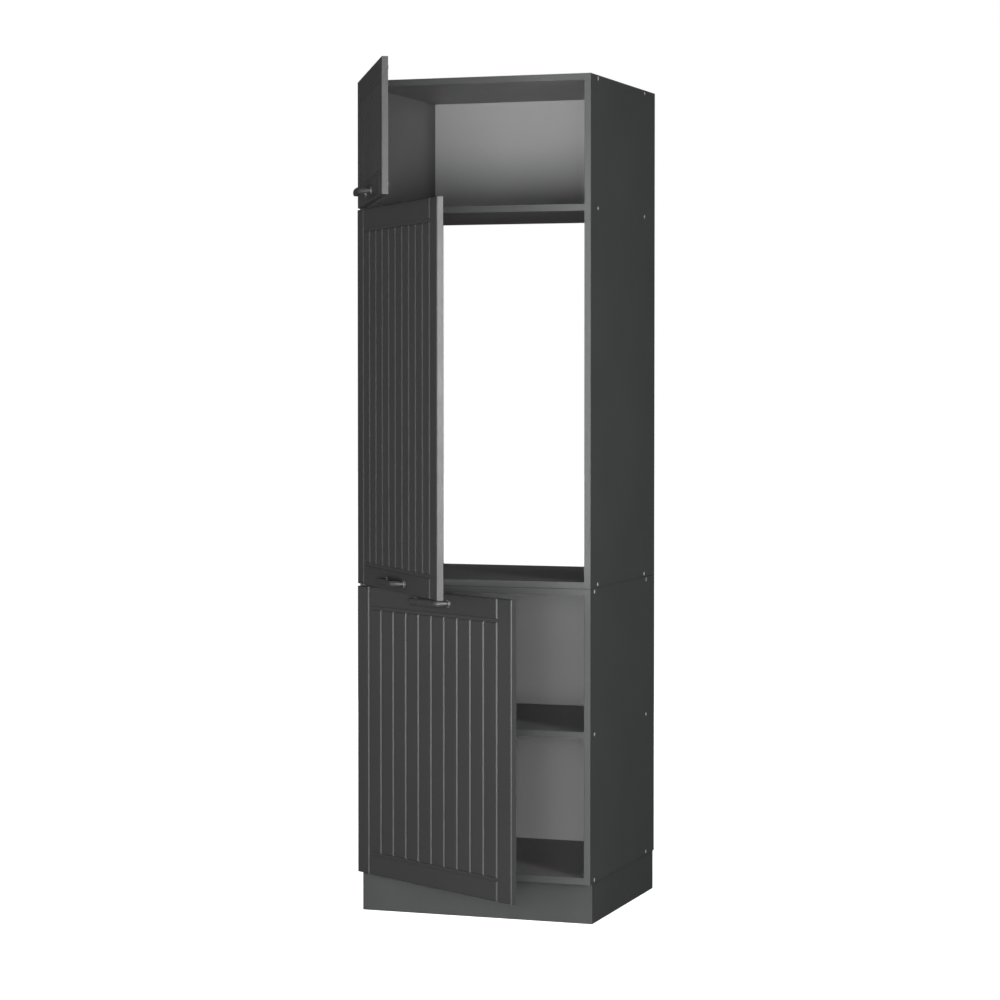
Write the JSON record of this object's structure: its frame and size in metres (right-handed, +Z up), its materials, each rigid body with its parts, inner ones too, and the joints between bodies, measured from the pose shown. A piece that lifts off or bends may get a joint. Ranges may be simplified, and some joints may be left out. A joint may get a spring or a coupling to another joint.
{
  "type": "fridge housing cabinet",
  "caption": "Tall kitchen housing for a built-in refrigerator, with a base cupboard, an open niche, a top cupboard and three grooved doors on cup hinges.",
  "frame": {"origin": "on the floor, at the middle of the front plinth board's underside", "axes": "+Z up, +X to the right seen from the front, +Y to the rear; the front faces -Y"},
  "size_m": [0.6012, 1.0948, 2.065],
  "materials": {
    "carcass_board": "dark grey melamine-faced chipboard, silk matt",
    "grooved_front": "dark grey foil on routed fibreboard, matt",
    "back_panel": "light grey lacquered thin fibreboard",
    "beech": "raw beech",
    "handle_metal": "die-cast zinc with an aged pewter finish",
    "nickel_plated_steel": "bright nickel plate",
    "zinc_plated_steel": "blue zinc plate",
    "soft_plastic": "clear soft plastic"
  },
  "bodies": {
    "housing": {"base_side_left": "carcass_board", "base_side_right": "carcass_board", "base_top": "carcass_board", "base_shelf": "carcass_board", "base_bottom": "carcass_board", "base_back": "back_panel", "upper_side_left": "carcass_board", "upper_side_right": "carcass_board", "upper_top": "carcass_board", "upper_divider": "carcass_board", "niche_floor": "carcass_board", "upper_back": "back_panel", "plinth_front": "carcass_board", "plinth_rear": "carcass_board", "plinth_left": "carcass_board", "plinth_right": "carcass_board", "plinth_blocks": "beech", "plinth_screws": "zinc_plated_steel", "base_screws_left": "zinc_plated_steel", "base_screws_right": "zinc_plated_steel", "upper_screws_left": "zinc_plated_steel", "upper_screws_right": "zinc_plated_steel", "dowels": "beech", "connector_bolts": "zinc_plated_steel", "connector_sleeves": "zinc_plated_steel", "hinge_arms_top": "nickel_plated_steel", "hinge_arms_middle": "nickel_plated_steel", "hinge_arms_lower": "nickel_plated_steel", "hinge_plates_top": "nickel_plated_steel", "hinge_plates_middle": "nickel_plated_steel", "hinge_plates_lower": "nickel_plated_steel", "plate_screws": "zinc_plated_steel", "arm_screws": "zinc_plated_steel"},
    "door_top": {"door_top": "grooved_front", "handle_top": "handle_metal", "rosettes_top": "handle_metal", "handle_screws_top": "zinc_plated_steel", "hinge_cups_top": "nickel_plated_steel", "cup_screws_top": "zinc_plated_steel", "hinge_pins_top": "nickel_plated_steel", "bumpers_top": "soft_plastic"},
    "door_middle": {"door_middle": "grooved_front", "handle_middle": "handle_metal", "rosettes_middle": "handle_metal", "handle_screws_middle": "zinc_plated_steel", "hinge_cups_middle": "nickel_plated_steel", "cup_screws_middle": "zinc_plated_steel", "hinge_pins_middle": "nickel_plated_steel", "bumpers_middle": "soft_plastic"},
    "door_lower": {"door_lower": "grooved_front", "handle_lower": "handle_metal", "rosettes_lower": "handle_metal", "handle_screws_lower": "zinc_plated_steel", "hinge_cups_lower": "nickel_plated_steel", "cup_screws_lower": "zinc_plated_steel", "hinge_pins_lower": "nickel_plated_steel", "bumpers_lower": "soft_plastic"}
  },
  "joints": [
    {"name": "door_top_hinge", "type": "hinge", "parent": "housing", "child": "door_top", "pos_m": [-0.2912, -0.036, 1.905], "axis": [0, 0, -1], "range_deg": [-62.9, 32.1]},
    {"name": "door_middle_hinge", "type": "hinge", "parent": "housing", "child": "door_middle", "pos_m": [-0.2912, -0.036, 1.282], "axis": [0, 0, -1], "range_deg": [-50.4, 44.6]},
    {"name": "door_lower_hinge", "type": "hinge", "parent": "housing", "child": "door_lower", "pos_m": [-0.2912, -0.036, 0.457], "axis": [0, 0, -1], "range_deg": [-31.3, 63.7]}
  ]
}
